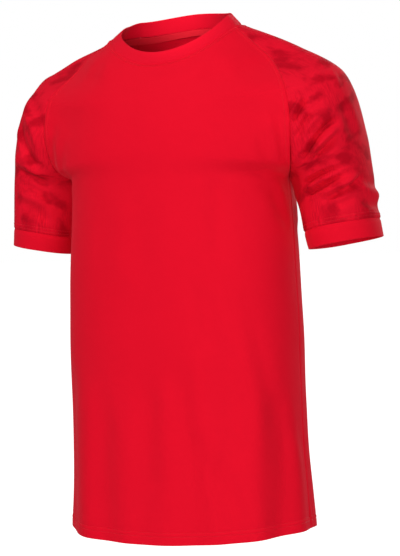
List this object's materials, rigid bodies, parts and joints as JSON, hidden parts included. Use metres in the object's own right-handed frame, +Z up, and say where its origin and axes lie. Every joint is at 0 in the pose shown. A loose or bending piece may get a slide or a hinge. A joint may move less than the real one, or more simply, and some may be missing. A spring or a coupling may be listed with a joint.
{
  "type": "training t-shirt",
  "caption": "Short-sleeved raglan training t-shirt in red knit, filled out as if worn, with plain cuffs, a round collar and tonal patterned sleeves; open at neck, hem and cuffs.",
  "frame": {"origin": "between the tops of the wearer's shoulders, where the shirt is carried", "axes": "+Z up, the garment's front faces -Y, and the wearer's left is +X"},
  "size_m": [0.569, 0.244, 0.7424],
  "materials": {
    "red_knit": "fine smooth polyester knit with a soft sheen",
    "printed_red_knit": "fine polyester knit with a tonal print of darker blocks",
    "red_rib": "doubled fine knit, matt",
    "red_tape": "plain woven tape, matt"
  },
  "bodies": {
    "root": {"front_body": "red_knit", "back_body": "red_knit", "left_sleeve": "printed_red_knit", "right_sleeve": "printed_red_knit", "left_cuff": "red_knit", "right_cuff": "red_knit", "collar": "red_rib", "neck_tape": "red_tape"}
  },
  "joints": []
}
